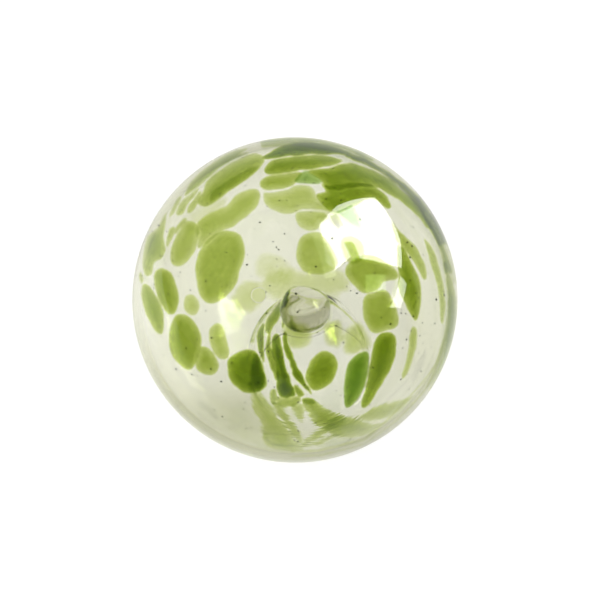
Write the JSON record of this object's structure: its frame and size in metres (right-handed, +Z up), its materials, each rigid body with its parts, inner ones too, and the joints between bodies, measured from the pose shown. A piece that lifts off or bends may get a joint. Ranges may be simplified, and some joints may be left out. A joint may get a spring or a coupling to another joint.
{
  "type": "blown glass ball",
  "caption": "Sealed hollow ball of clear blown glass with green flecks and a kicked-up base, standing on a narrow foot ring.",
  "frame": {"origin": "centre of the foot ring, on the surface that the ball stands on", "axes": "+Z up through the crown of the ball, +X to the right as the picture shows it, -Y towards the camera"},
  "size_m": [0.1, 0.1, 0.0932],
  "materials": {
    "green_flecked_glass": "fire-polished clear glass with melted-in green flecks"
  },
  "bodies": {
    "root": {"glass_ball": "green_flecked_glass"}
  },
  "joints": []
}
